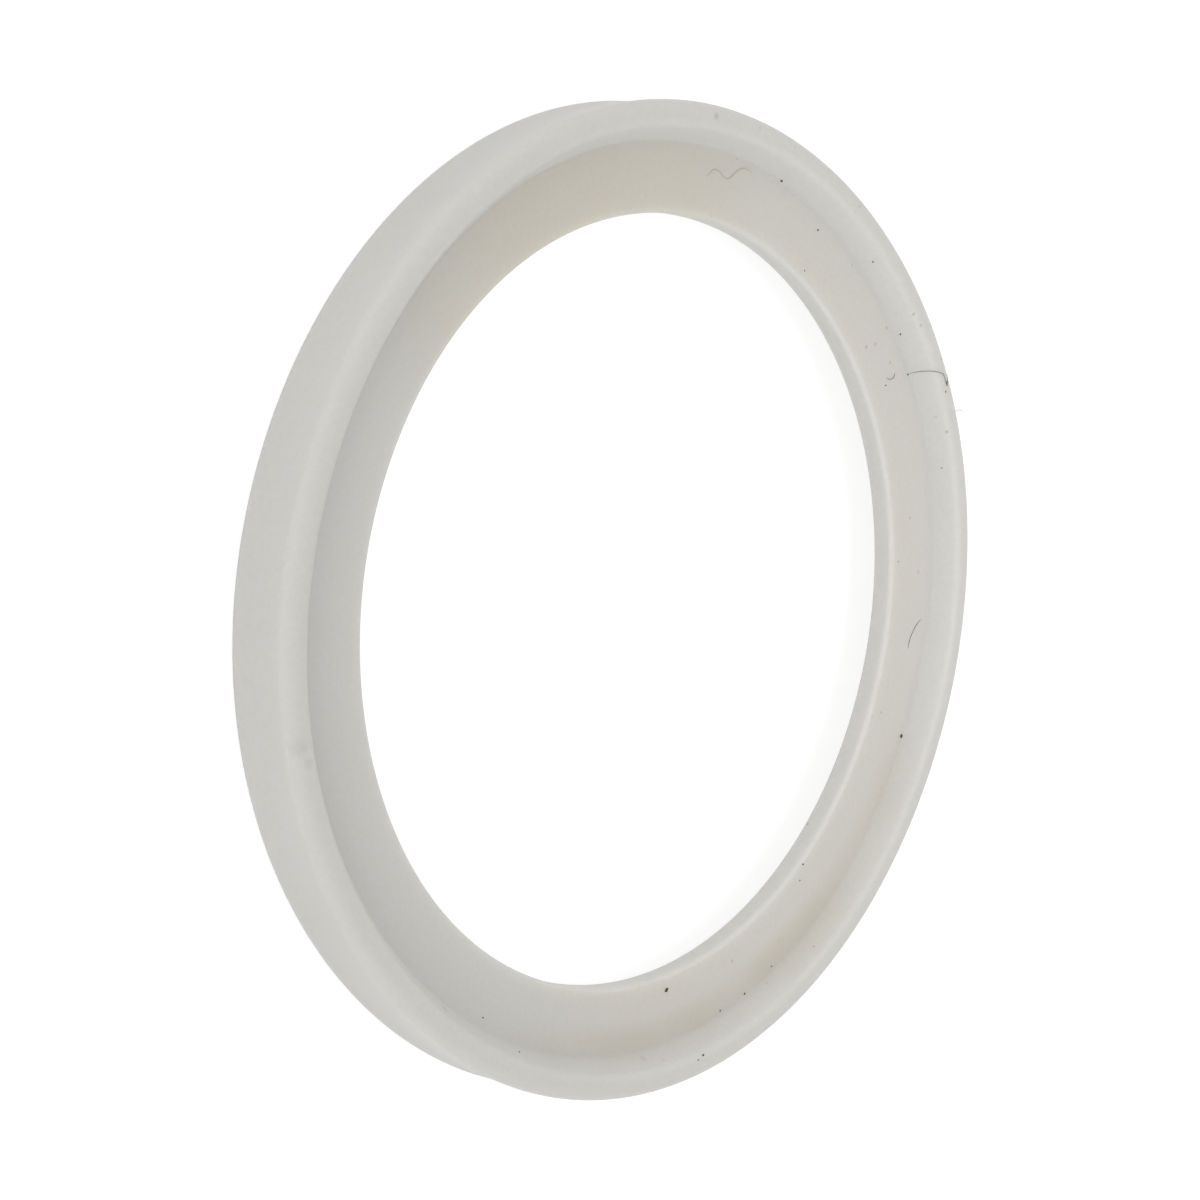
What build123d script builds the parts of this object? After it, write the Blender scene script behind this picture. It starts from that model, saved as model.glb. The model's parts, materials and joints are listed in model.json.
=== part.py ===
"""Flat sanitary clamp gasket with a raised rim, moulded in one piece from silicone.

The gasket lies flat, with its axis along +Z and its rim standing on z = 0.
"""
import os

from build123d import *

# --- Driving dimensions, millimetres ---
bore_radius = 30.1  # product bore, inside the web
foot_radius = 35.5  # where the web meets the rim's slanted inner sides
crest_radius = 36.8  # inner edge of the rim's flat crests
rim_radius = 38.75  # outside of the upper rim, as wide as the clamp flange
lower_rim_radius = 38.4  # outside of the lower rim, with the mould's draft
web_thickness = 2.0
upper_lip = 1.8  # the rim above the web's upper face
lower_lip = 2.8  # the rim below the web's lower face
waist_depth = 0.2  # how far the outer wall draws in between its two corners

# --- Moulded edges, millimetres ---
bore_edge_round = 0.35
foot_round = 0.4
crest_round = 0.8
upper_corner_round = 1.0
lower_corner_round = 0.8

# --- Heights, worked out from the above ---
web_bottom = lower_lip
web_top = web_bottom + web_thickness
rim_height = web_top + upper_lip
waist_height = rim_height / 2
waist_radius = (rim_radius + lower_rim_radius) / 2 - waist_depth


# --- Gasket: one section, turned about the axis ---
with BuildPart() as gasket:
    with BuildSketch(Plane.XZ) as section:
        with BuildLine():
            upper_corner = CenterArc(
                (rim_radius - upper_corner_round, rim_height - upper_corner_round),
                upper_corner_round,
                start_angle=0,
                arc_size=90,
            )
            lower_corner = CenterArc(
                (lower_rim_radius - lower_corner_round, lower_corner_round),
                lower_corner_round,
                start_angle=-90,
                arc_size=90,
            )
            ThreePointArc(
                lower_corner @ 1,
                (waist_radius, waist_height),
                upper_corner @ 0,
            )
            Polyline(
                upper_corner @ 1,
                (crest_radius, rim_height),
                (foot_radius, web_top),
                (bore_radius, web_top),
                (bore_radius, web_bottom),
                (foot_radius, web_bottom),
                (crest_radius, 0),
                lower_corner @ 0,
            )
        make_face()

        bore_edges, feet, crest_edges = section.vertices().group_by(Axis.X)[:3]
        fillet(bore_edges, bore_edge_round)
        fillet(feet, foot_round)
        fillet(crest_edges, crest_round)
    revolve(axis=Axis.Z)

gasket.part.label = "gasket"

# --- Output ---
os.makedirs("parts", exist_ok=True)
export_step(gasket.part, "parts/gasket.step")
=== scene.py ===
import json
import math

import bmesh
import bpy
from bpy.props import FloatProperty, FloatVectorProperty, IntProperty, PointerProperty
from mathutils import Matrix, Vector, noise


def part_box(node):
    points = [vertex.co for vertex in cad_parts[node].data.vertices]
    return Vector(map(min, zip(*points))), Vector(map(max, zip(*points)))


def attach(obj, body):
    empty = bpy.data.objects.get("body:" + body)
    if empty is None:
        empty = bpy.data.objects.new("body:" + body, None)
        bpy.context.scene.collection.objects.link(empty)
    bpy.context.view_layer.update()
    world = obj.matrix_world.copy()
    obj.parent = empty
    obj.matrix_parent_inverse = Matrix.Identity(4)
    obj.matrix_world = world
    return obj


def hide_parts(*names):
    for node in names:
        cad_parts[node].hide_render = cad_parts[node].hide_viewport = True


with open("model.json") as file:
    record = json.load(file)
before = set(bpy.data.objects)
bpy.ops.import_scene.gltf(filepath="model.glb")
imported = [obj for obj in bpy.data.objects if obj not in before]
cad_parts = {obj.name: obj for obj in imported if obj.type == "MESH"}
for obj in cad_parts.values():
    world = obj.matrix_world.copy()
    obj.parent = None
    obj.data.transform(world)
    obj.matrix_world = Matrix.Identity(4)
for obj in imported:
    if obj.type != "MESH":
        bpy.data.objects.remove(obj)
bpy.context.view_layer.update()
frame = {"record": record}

bl_info = {
    "name": "Clamp gasket finish",
    "version": (1, 0, 0),
    "blender": (4, 5, 0),
    "location": "View3D > Sidebar > Gasket",
    "description": "Milky silicone skin, grime, grit and lint for a flat sanitary clamp gasket",
    "category": "Object",
}

MM = 0.001

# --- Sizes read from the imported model, metres ---
BOX_LOW, BOX_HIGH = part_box("gasket")
MOUNTS = {m["name"]: m for m in frame["record"]["mounts"]}
RIM_RADIUS = (BOX_HIGH[0] - BOX_LOW[0]) / 2
RIM_HEIGHT = BOX_HIGH[2] - BOX_LOW[2]
BORE_RADIUS = MOUNTS["product_bore"]["dims"]["r_mm"] * MM
WEB_TOP = MOUNTS["upper_sealing_face"]["pos_m"][2]
WEB_BOTTOM = MOUNTS["lower_sealing_face"]["pos_m"][2]


# --- Places on the ring: angle from +X about the axis in degrees, radius in metres ---
# Painted warm light and real dust: the web's warmer cream tone and the brown dots both gather towards
# this angle
DUSTY_AND_WARM_LIT_SIDE = 0.0
DIRT_ANGLE = -56.0
BROWNED = (
    # angle, radius, reach, strength
    (98, 33.0 * MM, 13.0 * MM, 0.6),
    (120, 33.0 * MM, 13.0 * MM, 0.75),
    (140, 33.0 * MM, 12.0 * MM, 0.5),
)
SMUDGES = (
    # angle, radius, reach, strength
    (-159, 38.2 * MM, 1.0 * MM, 0.08),
    (-157, 37.6 * MM, 0.6 * MM, 0.06),
    (-117, 36.0 * MM, 0.5 * MM, 0.20),
    (93, 37.8 * MM, 0.4 * MM, 0.20),
    (-79, 36.0 * MM, 0.5 * MM, 0.12),
)
GRAINS = (
    # angle, radius, size
    (76, 35.6 * MM, 0.32 * MM),
    (44, 35.8 * MM, 0.20 * MM),
    (38, 35.5 * MM, 0.26 * MM),
    (39, 32.6 * MM, 0.18 * MM),
    (65, 31.0 * MM, 0.14 * MM),
    (56, 36.2 * MM, 0.16 * MM),
    (34, 37.4 * MM, 0.18 * MM),
    (12, 31.0 * MM, 0.14 * MM),
    (-13, 35.2 * MM, 0.30 * MM),
    (-24, 35.5 * MM, 0.16 * MM),
    (-39, 30.5 * MM, 0.18 * MM),
    (-41, 31.3 * MM, 0.14 * MM),
    (-52, 35.1 * MM, 0.18 * MM),
    (-58, 35.3 * MM, 0.20 * MM),
    (-63, 35.2 * MM, 0.16 * MM),
    (-70, 36.9 * MM, 0.22 * MM),
    (-71, 37.1 * MM, 0.14 * MM),
    (-73, 31.3 * MM, 0.38 * MM),
    (-102, 36.0 * MM, 0.20 * MM),
    (-109, 34.7 * MM, 0.16 * MM),
)
RUSTY_GRAINS = (
    (66, 34.5 * MM, 0.26 * MM),
    (35, 37.8 * MM, 0.18 * MM),
    (24, 36.2 * MM, 0.14 * MM),
    (85, 35.4 * MM, 0.12 * MM),
)
DARK_HAIRS = (
    # points as angle, radius
    ((38.0, 35.5 * MM), (37.9, 36.1 * MM), (37.5, 36.7 * MM), (36.8, 37.3 * MM), (35.8, 38.0 * MM)),
    ((36.6, 37.6 * MM), (35.6, 37.7 * MM), (34.6, 37.7 * MM), (34.9, 37.9 * MM), (35.7, 38.2 * MM)),
    ((39.9, 33.0 * MM), (39.4, 33.2 * MM), (39.1, 33.7 * MM), (39.6, 34.1 * MM)),
    ((3.4, 34.6 * MM), (2.4, 34.0 * MM), (1.2, 33.6 * MM), (0.1, 33.4 * MM), (-0.9, 33.4 * MM)),
)
PALE_LINT = (
    ((31.0, 37.8 * MM), (30.6, 38.4 * MM), (30.3, 39.1 * MM), (29.6, 39.8 * MM)),
    ((90.0, 33.4 * MM), (89.0, 34.0 * MM), (87.8, 34.0 * MM), (86.8, 33.7 * MM), (85.6, 33.8 * MM),
     (84.4, 34.6 * MM), (83.0, 35.0 * MM), (81.4, 34.9 * MM)),
)

# --- How the soil and the painted warm light spread and how strongly they show ---
FOOT_FADE = (0.2 * MM, -0.3 * MM)  # from the foot: where the web's browning and painted warm light are gone, and where they are full
BORE_FADE = 0.6 * MM  # the painted warm light fades in over this from the bore
WARM_LIGHT_SPREAD = (-0.75, 0.35)  # nearness to the dusty side at which the painted warm light begins, and is full
DIRT_SPREAD = (0.6, 0.97)
DUST_SPREAD = (-0.5, 0.9)
DIRT_INSIDE_FOOT = 0.5 * MM
DIRT_REACH = (2.4 * MM, 0.2 * MM)
PATCH_RAGGEDNESS = 0.35
DOTS_A_METRE = 900.0
DOT_RADIUS = (0.18, 0.06)  # in shares of a cell, outside and full
DOT_CHANCE = (0.86, 0.95)
DOT_STRENGTH = 0.4
BUMP_DEPTH = 0.02 * MM

# --- Where the soft ring is out of round: angles in degrees ---
THREE_LOBES_FROM = 60.0
FOUR_LOBES_FROM = 20.0
BORE_SHIFT_TOWARD = -25.0


def ring_place(angle, radius, height):
    """A point in space from its angle in degrees, radius and height."""
    angle = math.radians(angle)
    return Vector((radius * math.cos(angle), radius * math.sin(angle), height))


def length(name, description, default):
    """A length property in metres."""
    return FloatProperty(
        name=name, description=description, default=default, unit="LENGTH", subtype="DISTANCE",
        precision=5,
    )


def colour(name, description, default):
    """A linear colour property."""
    return FloatVectorProperty(
        name=name, description=description, default=default, subtype="COLOR", size=3,
        min=0.0, max=1.0,
    )


class GasketSizes(bpy.types.PropertyGroup):
    """Sizes of the moulded ring and of what has settled on it."""

    foot_radius: length("Foot radius", "Where the web meets the rim's inner sides", 35.5 * MM)
    crest_radius: length("Crest radius", "Inner edge of the rim's flat crests", 36.8 * MM)
    waist_depth: length("Waist depth", "How far the outer wall draws in at mid height", 0.2 * MM)
    bore_edge_round: length("Bore edge round", "Radius of the web's two bore edges", 0.35 * MM)
    foot_round: length("Foot round", "Radius in the corner between web and rim", 0.4 * MM)
    crest_round: length("Crest round", "Radius of the crests' inner edges", 0.8 * MM)
    upper_corner_round: length("Upper corner round", "Outer radius of the upper crest", 1.0 * MM)
    lower_rim_radius: length("Lower rim radius", "Outside of the lower rim", 38.4 * MM)
    lower_corner_round: length("Lower corner round", "Outer radius of the lower crest", 0.8 * MM)
    three_lobes: length("Three lobes", "Height of the soft rim's three low lobes", 0.1 * MM)
    four_lobes: length("Four lobes", "Height of the soft rim's four low lobes", 0.1 * MM)
    bore_shift: length("Bore shift", "How far the bore lies off the rim's centre", 0.1 * MM)
    around: IntProperty(
        name="Steps around", description="Mesh steps around the ring", default=720, min=64,
    )


class GasketColours(bpy.types.PropertyGroup):
    """Colours of the silicone, of the dirt on it and of the painted warm light on its web."""

    milk: colour("Milk", "Clean milky silicone", (0.60, 0.594, 0.568))
    # Painted warm light: this warmer cream stands in for warm lamp light on the +X half of the web
    painted_warm_light: colour("Painted warm light", "Thin cream film on the web", (0.61, 0.591, 0.545))
    aged: colour("Aged", "Web where the silicone has browned", (0.58, 0.546, 0.466))
    grime: colour("Grime", "Brown dirt in the corner of the rim", (0.49, 0.44, 0.34))
    grit: colour("Grit", "Dark grains", (0.05, 0.04, 0.03))
    rust: colour("Rust", "Brown grains", (0.28, 0.13, 0.05))
    hair: colour("Hair", "Dark hairs", (0.14, 0.11, 0.08))
    lint: colour("Lint", "Pale textile fibres", (0.55, 0.52, 0.46))
    floor: colour("Floor", "Pale floor", (0.9, 0.9, 0.9))


# --- Shader helpers ---

def new_group(name, inputs, outputs):
    """An empty shader node group with named float, colour or vector sockets."""
    tree = bpy.data.node_groups.new(name, "ShaderNodeTree")
    for label, kind, default in inputs:
        socket = tree.interface.new_socket(label, in_out="INPUT", socket_type="NodeSocket" + kind)
        if default is not None:
            socket.default_value = default
    for label, kind in outputs:
        tree.interface.new_socket(label, in_out="OUTPUT", socket_type="NodeSocket" + kind)
    return tree, tree.nodes.new("NodeGroupInput"), tree.nodes.new("NodeGroupOutput")


def join(tree, source, target):
    tree.links.new(source, target)


def maths(tree, operation, *values):
    """A Math node whose inputs are numbers or sockets. Returns its output."""
    node = tree.nodes.new("ShaderNodeMath")
    node.operation = operation
    for socket, value in zip(node.inputs, values):
        if isinstance(value, bpy.types.NodeSocket):
            join(tree, value, socket)
        else:
            socket.default_value = value
    return node.outputs[0]


def blend_colour(tree, factor, first, second):
    """first where factor is 0, second where it is 1."""
    node = tree.nodes.new("ShaderNodeMix")
    node.data_type = "RGBA"
    for socket, value in zip((node.inputs[0], node.inputs[6], node.inputs[7]), (factor, first, second)):
        if isinstance(value, bpy.types.NodeSocket):
            join(tree, value, socket)
        elif isinstance(value, float):
            socket.default_value = value
        else:
            socket.default_value = (*value, 1.0)
    return node.outputs[2]


def ramp(tree, value, low, high):
    """0 below low and 1 above high, smooth between."""
    node = tree.nodes.new("ShaderNodeMapRange")
    node.interpolation_type = "SMOOTHSTEP"
    join(tree, value, node.inputs["Value"])
    node.inputs["From Min"].default_value = low
    node.inputs["From Max"].default_value = high
    return node.outputs["Result"]


def ragged_noise(tree, place):
    """Noise that breaks up the edge of a patch, from 0 to 1."""
    node = tree.nodes.new("ShaderNodeTexNoise")
    join(tree, place, node.inputs["Vector"])
    node.inputs["Scale"].default_value = 400.0
    node.inputs["Detail"].default_value = 3.0
    node.inputs["Roughness"].default_value = 0.55
    return node.outputs["Fac"]


def mottle_group():
    """Cloudy and fine variation, shared by the silicone, the grit and the fibres."""
    tree, given, out = new_group(
        "Mottle",
        [("Place", "Vector", None), ("Cloud Scale", "Float", 120.0), ("Grain Scale", "Float", 2500.0)],
        [("Cloud", "Float"), ("Grain", "Float")],
    )
    for name, detail in (("Cloud", 2.0), ("Grain", 3.0)):
        node = tree.nodes.new("ShaderNodeTexNoise")
        join(tree, given.outputs["Place"], node.inputs["Vector"])
        join(tree, given.outputs[name + " Scale"], node.inputs["Scale"])
        node.inputs["Detail"].default_value = detail
        join(tree, node.outputs["Fac"], out.inputs[name])
    return tree


def patch_group():
    """A soft-edged patch of soil round a spot, broken up by noise."""
    tree, given, out = new_group(
        "Soil Patch",
        [
            ("Place", "Vector", None), ("Spot", "Vector", None), ("Reach", "Float", 0.01),
            ("Raggedness", "Float", 0.5),
        ],
        [("Mask", "Float")],
    )
    away = tree.nodes.new("ShaderNodeVectorMath")
    away.operation = "DISTANCE"
    join(tree, given.outputs["Place"], away.inputs[0])
    join(tree, given.outputs["Spot"], away.inputs[1])
    share = maths(tree, "DIVIDE", away.outputs["Value"], given.outputs["Reach"])
    rough = maths(tree, "SUBTRACT", ragged_noise(tree, given.outputs["Place"]), 0.5)
    share = maths(tree, "ADD", share, maths(tree, "MULTIPLY", rough, given.outputs["Raggedness"]))
    join(tree, maths(tree, "SUBTRACT", 1.0, ramp(tree, share, 0.2, 1.0)), out.inputs["Mask"])
    return tree


def shared_groups():
    """The node groups that several materials use, each built once."""
    makers = {"mottle": ("Mottle", mottle_group), "patch": ("Soil Patch", patch_group)}
    return {
        key: bpy.data.node_groups.get(name) or make() for key, (name, make) in makers.items()
    }


def place_group(tree, group, **values):
    """Places a group in a tree and sets or links its inputs."""
    node = tree.nodes.new("ShaderNodeGroup")
    node.node_tree = group
    for name, value in values.items():
        socket = node.inputs[name.replace("_", " ")]
        if isinstance(value, bpy.types.NodeSocket):
            join(tree, value, socket)
        else:
            socket.default_value = value
    return node


def new_material(name):
    """A material with a lone Principled shader. Returns it, its tree, the shader and object space."""
    material = bpy.data.materials.new(name)
    material.use_nodes = True
    tree = material.node_tree
    shader = tree.nodes["Principled BSDF"]
    place = tree.nodes.new("ShaderNodeTexCoord").outputs["Object"]
    return material, tree, shader, place


def toward(tree, across, along, radius, angle):
    """How far a point lies towards the given angle round the ring: 1 on it, -1 opposite."""
    angle = math.radians(angle)
    share = maths(tree, "MULTIPLY", across, math.cos(angle))
    share = maths(tree, "MULTIPLY_ADD", along, math.sin(angle), share)
    return maths(tree, "DIVIDE", share, radius)


def soil_share(tree, group, place, patch_place, strength, sizes):
    """How much of a soil patch shows at each point, from 0 to its strength."""
    angle, radius, reach = patch_place
    spot = ring_place(angle, radius, upper_height(radius, sizes))
    patch = place_group(tree, group, Place=place, Spot=spot, Reach=reach, Raggedness=PATCH_RAGGEDNESS)
    return maths(tree, "MULTIPLY", patch.outputs["Mask"], strength)


def add_dots(tree, place, near, tone, tint):
    """Fine brown dots, more of them on the soiled side."""
    dots = tree.nodes.new("ShaderNodeTexVoronoi")
    join(tree, place, dots.inputs["Vector"])
    dots.inputs["Scale"].default_value = DOTS_A_METRE
    pick = tree.nodes.new("ShaderNodeSeparateColor")
    join(tree, dots.outputs["Color"], pick.inputs[0])
    chosen = ramp(tree, pick.outputs["Red"], *DOT_CHANCE)
    mask = maths(tree, "MULTIPLY", ramp(tree, dots.outputs["Distance"], *DOT_RADIUS), chosen)
    dusty = maths(tree, "MULTIPLY", ramp(tree, near, *DUST_SPREAD), DOT_STRENGTH)
    return blend_colour(tree, maths(tree, "MULTIPLY", mask, dusty), tone, tint)


def silicone_material(sizes, colours, groups):
    """Milky silicone with painted warm light on the +X half of the web, a browned stretch and dirt at
    the rim's foot.
    """
    material, tree, shader, place = new_material("milky_silicone")
    mottle = place_group(tree, groups["mottle"], Place=place)
    parts = tree.nodes.new("ShaderNodeSeparateXYZ")
    join(tree, place, parts.inputs[0])
    across, along = parts.outputs["X"], parts.outputs["Y"]
    squares = maths(tree, "MULTIPLY_ADD", across, across, maths(tree, "MULTIPLY", along, along))
    radius = maths(tree, "SQRT", squares)
    faded, full = FOOT_FADE
    web = ramp(tree, radius, sizes.foot_radius + faded, sizes.foot_radius + full)

    cloudy = ramp(tree, mottle.outputs["Cloud"], 0.3, 0.7)
    flat = maths(tree, "MULTIPLY", web, ramp(tree, radius, BORE_RADIUS, BORE_RADIUS + BORE_FADE))
    near = toward(tree, across, along, radius, DUSTY_AND_WARM_LIT_SIDE)
    # Painted warm light: the web is tinted warmer cream towards the +X side, broken up by cloud, where
    # warm lamp light falls
    warm_lit = ramp(tree, near, *WARM_LIGHT_SPREAD)
    warm_lit = maths(tree, "MULTIPLY", warm_lit, maths(tree, "MULTIPLY_ADD", cloudy, 0.3, 0.7))
    tone = blend_colour(tree, maths(tree, "MULTIPLY", warm_lit, flat), colours.milk, colours.painted_warm_light)

    for *patch_place, strength in BROWNED:
        share = soil_share(tree, groups["patch"], place, patch_place, strength, sizes)
        tone = blend_colour(tree, maths(tree, "MULTIPLY", share, web), tone, colours.aged)
    for *patch_place, strength in SMUDGES:
        share = soil_share(tree, groups["patch"], place, patch_place, strength, sizes)
        tone = blend_colour(tree, share, tone, colours.grit)

    middle = sizes.foot_radius - DIRT_INSIDE_FOOT
    from_middle = maths(tree, "ABSOLUTE", maths(tree, "SUBTRACT", radius, middle))
    lower = ramp(tree, toward(tree, across, along, radius, DIRT_ANGLE), *DIRT_SPREAD)
    dirty = maths(tree, "MULTIPLY", ramp(tree, from_middle, *DIRT_REACH), lower)
    dirty = maths(tree, "MULTIPLY", dirty, maths(tree, "MULTIPLY_ADD", cloudy, 0.25, 0.2))
    tone = blend_colour(tree, dirty, tone, colours.grime)
    tone = add_dots(tree, place, near, tone, colours.rust)

    grained = tree.nodes.new("ShaderNodeVectorMath")
    grained.operation = "SCALE"
    join(tree, tone, grained.inputs[0])
    join(tree, maths(tree, "MULTIPLY_ADD", mottle.outputs["Grain"], 0.1, 0.95), grained.inputs["Scale"])
    join(tree, grained.outputs[0], shader.inputs["Base Color"])

    rough = maths(tree, "MULTIPLY_ADD", mottle.outputs["Grain"], 0.2, 0.4)
    join(tree, maths(tree, "MULTIPLY_ADD", dirty, 0.2, rough), shader.inputs["Roughness"])

    bump = tree.nodes.new("ShaderNodeBump")
    bump.inputs["Strength"].default_value = 0.5
    bump.inputs["Distance"].default_value = BUMP_DEPTH
    height = maths(tree, "MULTIPLY_ADD", mottle.outputs["Cloud"], 4.0, mottle.outputs["Grain"])
    join(tree, height, bump.inputs["Height"])
    join(tree, bump.outputs["Normal"], shader.inputs["Normal"])
    shader.inputs["IOR"].default_value = 1.41
    shader.inputs["Subsurface Weight"].default_value = 0.6
    shader.inputs["Subsurface Radius"].default_value = (1.0, 0.9, 0.75)
    shader.inputs["Subsurface Scale"].default_value = 2.5 * MM
    return material


def dirt_material(name, tint, groups, roughness):
    """Matt dirt or fibre with an uneven tone."""
    material, tree, shader, place = new_material(name)
    mottle = place_group(tree, groups["mottle"], Place=place, Cloud_Scale=3000.0, Grain_Scale=9000.0)
    darker = tuple(channel * 0.6 for channel in tint)
    join(tree, blend_colour(tree, mottle.outputs["Cloud"], darker, tint), shader.inputs["Base Color"])
    rough = maths(tree, "MULTIPLY_ADD", mottle.outputs["Grain"], 0.2, roughness)
    join(tree, rough, shader.inputs["Roughness"])
    return material


# --- Ring geometry ---

def arc_corner(before, corner, after, radius, steps=8):
    """Points of a rounded corner between two straight runs."""
    before, corner, after = map(Vector, (before, corner, after))
    to_before = (before - corner).normalized()
    to_after = (after - corner).normalized()
    half = to_before.angle(to_after) / 2
    centre = corner + (to_before + to_after).normalized() * (radius / math.sin(half))
    start = corner + to_before * (radius / math.tan(half)) - centre
    end = corner + to_after * (radius / math.tan(half)) - centre
    turn = start.angle(end)
    points = []
    for i in range(steps + 1):
        share = i / steps
        mixed = start * math.sin((1 - share) * turn) + end * math.sin(share * turn)
        points.append(centre + mixed / math.sin(turn))
    return points


def section_outline(sizes):
    """The ring's section as a closed list of radius and height, anticlockwise from the outer wall."""
    corners = [
        ((RIM_RADIUS, RIM_HEIGHT), sizes.upper_corner_round),
        ((sizes.crest_radius, RIM_HEIGHT), sizes.crest_round),
        ((sizes.foot_radius, WEB_TOP), sizes.foot_round),
        ((BORE_RADIUS, WEB_TOP), sizes.bore_edge_round),
        ((BORE_RADIUS, WEB_BOTTOM), sizes.bore_edge_round),
        ((sizes.foot_radius, WEB_BOTTOM), sizes.foot_round),
        ((sizes.crest_radius, 0.0), sizes.crest_round),
        ((sizes.lower_rim_radius, 0.0), sizes.lower_corner_round),
    ]
    rounded = []
    for i, (corner, radius) in enumerate(corners):
        before, after = corners[i - 1][0], corners[(i + 1) % len(corners)][0]
        rounded.append(arc_corner(before, corner, after, radius))
    outline = []
    for i, arc in enumerate(rounded):
        outline += arc
        start, end = arc[-1], rounded[(i + 1) % len(rounded)][0]
        pieces = max(1, round((end - start).length / (0.35 * MM)))
        outline += [start.lerp(end, k / pieces) for k in range(1, pieces)]
    return [waisted(point, sizes) for point in outline]


def waisted(point, sizes):
    """Draws the outer wall in towards mid height."""
    low, high = sizes.lower_corner_round, RIM_HEIGHT - sizes.upper_corner_round
    if point.x < sizes.crest_radius or not low < point.y < high:
        return point
    share = (point.y - low) / (high - low)
    return Vector((point.x - sizes.waist_depth * 4 * share * (1 - share), point.y))


def lobed(angle, lobes, start):
    """1 at the top of each evenly spaced lobe, the first at start degrees, and -1 between them."""
    return math.cos(lobes * (angle - math.radians(start)))


def out_of_round(place, sizes):
    """Moves a point in or out, because a soft ring never lies quite round."""
    radius = math.hypot(place.x, place.y)
    angle = math.atan2(place.y, place.x)
    bore = sizes.bore_shift * lobed(angle, 1, BORE_SHIFT_TOWARD)
    rim = sizes.three_lobes * lobed(angle, 3, THREE_LOBES_FROM)
    rim += sizes.four_lobes * lobed(angle, 4, FOUR_LOBES_FROM)
    share = min(max((radius - BORE_RADIUS) / (sizes.foot_radius - BORE_RADIUS), 0.0), 1.0)
    stretch = 1 + (bore + (rim - bore) * share) / radius
    return Vector((place.x * stretch, place.y * stretch, place.z))


def upper_height(radius, sizes):
    """Height of the gasket's upper side at a radius, edge rounds left out."""
    share = (radius - sizes.foot_radius) / (sizes.crest_radius - sizes.foot_radius)
    height = WEB_TOP + (RIM_HEIGHT - WEB_TOP) * min(max(share, 0.0), 1.0)
    inside = max(0.0, radius - (RIM_RADIUS - sizes.upper_corner_round))
    drop = sizes.upper_corner_round - math.sqrt(max(0.0, sizes.upper_corner_round**2 - inside**2))
    return height - drop


def ring_mesh(sizes):
    """The section turned about the axis, as one closed skin of quads."""
    outline = section_outline(sizes)
    mesh = bmesh.new()
    loops = []
    for step in range(sizes.around):
        angle = 2 * math.pi * step / sizes.around
        turn = Vector((math.cos(angle), math.sin(angle)))
        places = [Vector((point.x * turn.x, point.x * turn.y, point.y)) for point in outline]
        loops.append([mesh.verts.new(out_of_round(place, sizes)) for place in places])
    for here, there in zip(loops, loops[1:] + loops[:1]):
        for i in range(len(outline)):
            j = (i + 1) % len(outline)
            mesh.faces.new((here[i], there[i], there[j], here[j]))
    bmesh.ops.recalc_face_normals(mesh, faces=mesh.faces)
    return mesh


def finish_piece(name, mesh, material, replaces=()):
    """Turns a bmesh into a smooth piece that rides with the gasket."""
    data = bpy.data.meshes.new(name)
    mesh.to_mesh(data)
    mesh.free()
    data.materials.append(material)
    data.shade_smooth()
    piece = bpy.data.objects.new(name, data)
    bpy.context.scene.collection.objects.link(piece)
    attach(piece, "root")
    if replaces:
        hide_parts(*replaces)


def on_top(angle, radius, sizes, lift=0.0):
    """A point on the gasket's upper side, or a little above it."""
    edge = min(radius, RIM_RADIUS - 0.1 * MM)
    return out_of_round(ring_place(angle, radius, upper_height(edge, sizes) + lift), sizes)


def grain_mesh(grains, sizes):
    """Small flattened lumps, sunk a little into the surface that they lie on."""
    mesh = bmesh.new()
    for number, (angle, radius, size) in enumerate(grains):
        centre = on_top(angle, radius, sizes)
        breadth = 0.6 + 0.2 * (number % 3)
        lump = bmesh.ops.create_icosphere(mesh, subdivisions=2, radius=0.5)["verts"]
        for vert in lump:
            swell = 1.0 + 0.7 * noise.noise(vert.co * 2.2 + Vector((number * 3.1, 0, 0)))
            stretched = Vector((vert.co.x, vert.co.y * breadth, vert.co.z * 0.45))
            stretched.rotate(Matrix.Rotation(number * 1.3, 3, "Z"))
            vert.co = centre + stretched * (size * swell)
    return mesh


def smooth_path(points, steps=6):
    """Points along a smooth curve through the given ones."""
    ends = [points[0] * 2 - points[1], *points, points[-1] * 2 - points[-2]]
    path = []
    for a, b, c, d in zip(ends, ends[1:], ends[2:], ends[3:]):
        for i in range(steps):
            t = i / steps
            bend = (a * 2 - b * 5 + c * 4 - d) * t**2 + (b * 3 - a - c * 3 + d) * t**3
            path.append((b * 2 + (c - a) * t + bend) / 2)
    return path + [points[-1]]


def add_strand(mesh, path, radius, sides=6):
    """A thin round strand with pointed ends."""
    rings = []
    for i, here in enumerate(path):
        ahead = (path[min(i + 1, len(path) - 1)] - path[max(i - 1, 0)]).normalized()
        side = ahead.cross(Vector((0, 0, 1))).normalized()
        up = side.cross(ahead)
        share = i / (len(path) - 1)
        thick = radius * (0.25 + 0.75 * min(1.0, 6 * share, 6 * (1 - share)))
        rings.append([
            mesh.verts.new(here + (side * math.cos(turn) + up * math.sin(turn)) * thick)
            for turn in (2 * math.pi * k / sides for k in range(sides))
        ])
    for first, second in zip(rings, rings[1:]):
        for k in range(sides):
            mesh.faces.new((first[k], first[(k + 1) % sides], second[(k + 1) % sides], second[k]))
    mesh.faces.new(rings[0][::-1])
    mesh.faces.new(rings[-1])


def strand_mesh(strands, thickness, lift, sizes):
    """Strands that lie on the gasket's upper side."""
    mesh = bmesh.new()
    for strand in strands:
        points = [on_top(angle, radius, sizes, lift) for angle, radius in strand]
        add_strand(mesh, smooth_path(points), thickness / 2)
    return mesh


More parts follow.
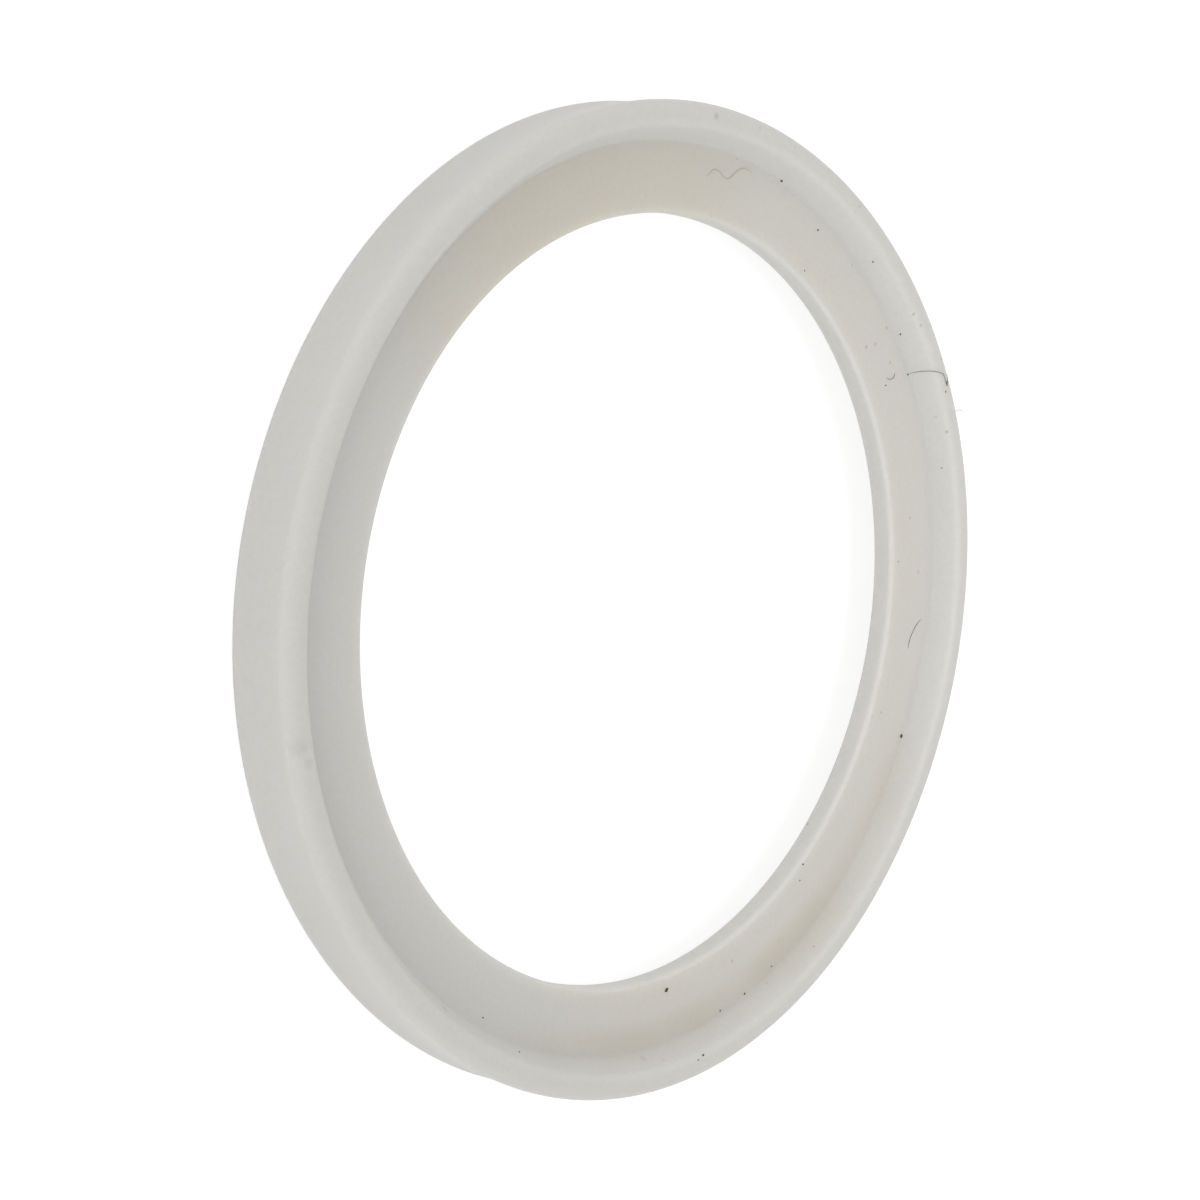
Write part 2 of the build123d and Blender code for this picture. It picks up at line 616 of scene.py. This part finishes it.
class GASKET_OT_silicone_ring(bpy.types.Operator):
    """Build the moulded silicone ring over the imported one"""

    bl_idname = "gasket.silicone_ring"
    bl_label = "Silicone Ring"

    def execute(self, context):
        sizes, colours = context.scene.gasket_sizes, context.scene.gasket_colours
        material = silicone_material(sizes, colours, shared_groups())
        finish_piece("silicone_ring", ring_mesh(sizes), material, replaces=["gasket"])
        return {"FINISHED"}


class GASKET_OT_grit(bpy.types.Operator):
    """Scatter the dark grains that have settled on the gasket"""

    bl_idname = "gasket.grit"
    bl_label = "Grit"

    def execute(self, context):
        sizes, colours = context.scene.gasket_sizes, context.scene.gasket_colours
        grit = dirt_material("dark_grit", colours.grit, shared_groups(), 0.6)
        rust = dirt_material("brown_grit", colours.rust, shared_groups(), 0.7)
        finish_piece("grit_grains", grain_mesh(GRAINS, sizes), grit)
        finish_piece("rusty_grains", grain_mesh(RUSTY_GRAINS, sizes), rust)
        return {"FINISHED"}


class GASKET_OT_fibres(bpy.types.Operator):
    """Lay the dark hairs and the pale lint on the gasket"""

    bl_idname = "gasket.fibres"
    bl_label = "Hairs and Lint"

    def execute(self, context):
        sizes, colours = context.scene.gasket_sizes, context.scene.gasket_colours
        hair = dirt_material("dark_hair", colours.hair, shared_groups(), 0.4)
        lint = dirt_material("pale_lint", colours.lint, shared_groups(), 0.7)
        finish_piece("stray_hairs", strand_mesh(DARK_HAIRS, 0.045 * MM, 0.015 * MM, sizes), hair)
        finish_piece("stray_lint", strand_mesh(PALE_LINT, 0.05 * MM, 0.015 * MM, sizes), lint)
        return {"FINISHED"}


# --- Stage ---
WORLD_LIGHT = 0.556
FLOOR_GLOW = 0.85
FLOOR_DIM = 0.3
LAMPS = (
    # name, place, faces, size, watts
    ("low_side_lamp", (-0.52, 0.0, 0.15), (0, 0, WEB_TOP), (0.9, 0.3), 1.09),
    ("low_front_lamp", (-0.1, -0.52, 0.15), (0, 0, WEB_TOP), (0.5, 0.25), 0.53),
    ("low_back_lamp", (-0.2, 0.48, 0.15), (0, 0, WEB_TOP), (0.5, 0.25), 0.44),
    ("small_top_lamp", (0.04, 0.01, 0.12), (0.04, 0.01, 0.0), (0.08, 0.08), 0.046),
)
LENS_MM = 118.5
VIEW_FROM_AXIS = math.radians(47.38)
VIEW_ROLL = math.radians(-8.35)
VIEW_DISTANCE = 305.3 * MM
VIEW_RIGHT = 3.76 * MM
VIEW_DOWN = 0.27 * MM
AIM_HEIGHT = 5.2 * MM


def add_camera(context):
    """A long lens that looks down on the ring, rolled so that the ring stands upright in view."""
    data = bpy.data.cameras.new("camera")
    data.lens = LENS_MM
    data.sensor_width = 36.0
    camera = bpy.data.objects.new("camera", data)
    context.scene.collection.objects.link(camera)
    turn = Matrix.Rotation(-VIEW_FROM_AXIS, 4, "Y") @ Matrix.Rotation(-VIEW_ROLL, 4, "Z")
    aim = Vector((0, 0, AIM_HEIGHT))
    offset = turn @ Vector((VIEW_RIGHT, -VIEW_DOWN, -VIEW_DISTANCE))
    camera.matrix_world = Matrix.Translation(aim - offset) @ turn
    context.scene.camera = camera


def add_lamp(context, name, place, aim, size, power):
    """A soft oblong lamp that faces the given point."""
    data = bpy.data.lights.new(name, "AREA")
    data.shape = "RECTANGLE"
    data.size, data.size_y = size
    data.energy = power
    lamp = bpy.data.objects.new(name, data)
    context.scene.collection.objects.link(lamp)
    lamp.location = place
    lamp.rotation_euler = (Vector(place) - Vector(aim)).to_track_quat("Z", "Y").to_euler()


def shown_to_lens(tree):
    """1 for what the camera sees, straight or in a gloss or glass, and 0 for light on the ring."""
    rays = tree.nodes.new("ShaderNodeLightPath")
    seen = maths(tree, "MAXIMUM", rays.outputs["Is Camera Ray"], rays.outputs["Is Glossy Ray"])
    return maths(tree, "MAXIMUM", seen, rays.outputs["Is Transmission Ray"])


def add_floor(context, colours):
    """A wide pale floor that shows white to the camera and still takes the ring's shadow."""
    material, tree, shader, _ = new_material("pale_floor")
    seen = shown_to_lens(tree)
    dimmed = tuple(channel * FLOOR_DIM for channel in colours.floor)
    join(tree, blend_colour(tree, seen, colours.floor, dimmed), shader.inputs["Base Color"])
    join(tree, maths(tree, "MULTIPLY", seen, FLOOR_GLOW), shader.inputs["Emission Strength"])
    shader.inputs["Emission Color"].default_value = (1.0, 1.0, 1.0, 1.0)
    shader.inputs["Roughness"].default_value = 0.9
    shader.inputs["Specular IOR Level"].default_value = 0.0
    mesh = bmesh.new()
    bmesh.ops.create_grid(mesh, x_segments=1, y_segments=1, size=1.5)
    data = bpy.data.meshes.new("floor")
    mesh.to_mesh(data)
    mesh.free()
    data.materials.append(material)
    floor = bpy.data.objects.new("floor", data)
    context.scene.collection.objects.link(floor)


def set_world(context):
    """Even light from all round, and plain white where the camera looks past the floor."""
    world = bpy.data.worlds.new("studio")
    context.scene.world = world
    world.use_nodes = True
    tree = world.node_tree
    background = tree.nodes["Background"]
    background.inputs["Color"].default_value = (1.0, 1.0, 1.0, 1.0)
    strength = maths(tree, "MULTIPLY_ADD", shown_to_lens(tree), 1.0 - WORLD_LIGHT, WORLD_LIGHT)
    join(tree, strength, background.inputs["Strength"])


class GASKET_OT_stage(bpy.types.Operator):
    """Set up the pale floor, the soft lamps, the world and the camera"""

    bl_idname = "gasket.stage"
    bl_label = "Stage"

    def execute(self, context):
        add_camera(context)
        add_floor(context, context.scene.gasket_colours)
        set_world(context)
        for lamp in LAMPS:
            add_lamp(context, *lamp)
        context.scene.view_settings.view_transform = "Standard"
        return {"FINISHED"}


class GASKET_PT_panel(bpy.types.Panel):
    """Buttons for each step of the gasket's finish"""

    bl_idname = "GASKET_PT_panel"
    bl_label = "Clamp Gasket"
    bl_space_type = "VIEW_3D"
    bl_region_type = "UI"
    bl_category = "Gasket"

    def draw(self, context):
        for operator in OPERATORS:
            self.layout.operator(operator.bl_idname)
        for group in (context.scene.gasket_sizes, context.scene.gasket_colours):
            for name in group.bl_rna.properties.keys():
                if name not in ("rna_type", "name"):
                    self.layout.prop(group, name)


OPERATORS = (GASKET_OT_silicone_ring, GASKET_OT_grit, GASKET_OT_fibres, GASKET_OT_stage)
CLASSES = (GasketSizes, GasketColours, *OPERATORS, GASKET_PT_panel)


def register():
    for cls in CLASSES:
        bpy.utils.register_class(cls)
    bpy.types.Scene.gasket_sizes = PointerProperty(type=GasketSizes)
    bpy.types.Scene.gasket_colours = PointerProperty(type=GasketColours)


def unregister():
    del bpy.types.Scene.gasket_sizes
    del bpy.types.Scene.gasket_colours
    for cls in reversed(CLASSES):
        bpy.utils.unregister_class(cls)


def main():
    register()
    bpy.ops.gasket.silicone_ring()
    bpy.ops.gasket.grit()
    bpy.ops.gasket.fibres()
    bpy.ops.gasket.stage()


if __name__ == "__main__":
    main()
